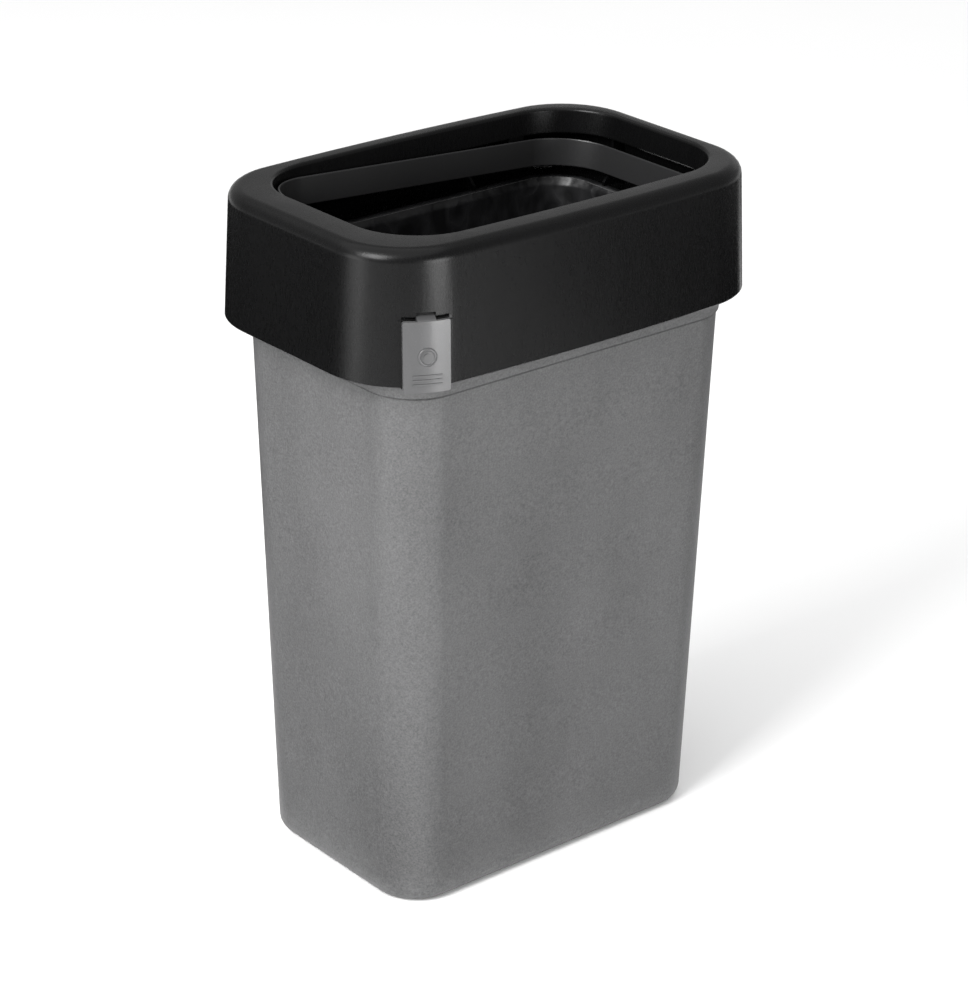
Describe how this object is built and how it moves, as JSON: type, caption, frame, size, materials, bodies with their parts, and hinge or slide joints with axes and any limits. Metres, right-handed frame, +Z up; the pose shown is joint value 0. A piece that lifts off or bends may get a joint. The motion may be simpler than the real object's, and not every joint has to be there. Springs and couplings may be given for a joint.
{
  "type": "waste bin",
  "caption": "Open-top rectangular bag bin with a drafted container, a lift-off collar over its rim, a hinged bag ring in the collar's mouth, a film liner and swing clips on opposite corners.",
  "frame": {"origin": "centre of the base, on the surface that the bin stands on", "axes": "+Z up, +X along the long side, -Y towards the long side beside the front clip"},
  "size_m": [0.3498, 0.2298, 0.5],
  "materials": {
    "container_plastic": "fine moulded grain",
    "collar_plastic": "satin, fine grain",
    "ring_plastic": "satin",
    "clip_plastic": "satin",
    "bag_film": "thin wrinkled film"
  },
  "bodies": {
    "bin": {"container": "container_plastic", "waste_bag": "bag_film"},
    "collar": {"collar": "collar_plastic"},
    "ring": {"bag_ring": "ring_plastic"},
    "clip_front": {"clip_front": "clip_plastic"},
    "clip_rear": {"clip_rear": "clip_plastic"}
  },
  "joints": [
    {"name": "collar_lift", "type": "slide", "parent": "bin", "child": "collar", "axis": [0, 0, 1], "range_m": [0, 0.16]},
    {"name": "ring_swing", "type": "hinge", "parent": "collar", "child": "ring", "pos_m": [0.10084, 0.003, 0.47], "axis": [0, 1, 0], "range_deg": [0, 80]},
    {"name": "clip_front_swing", "type": "hinge", "parent": "collar", "child": "clip_front", "pos_m": [-0.13612, -0.10075, 0.4527], "axis": [-0.91, 0.4147, 0], "range_deg": [0, 30]},
    {"name": "clip_rear_swing", "type": "hinge", "parent": "collar", "child": "clip_rear", "pos_m": [0.13612, 0.10075, 0.4527], "axis": [0.91, -0.4147, 0], "range_deg": [0, 30]}
  ]
}
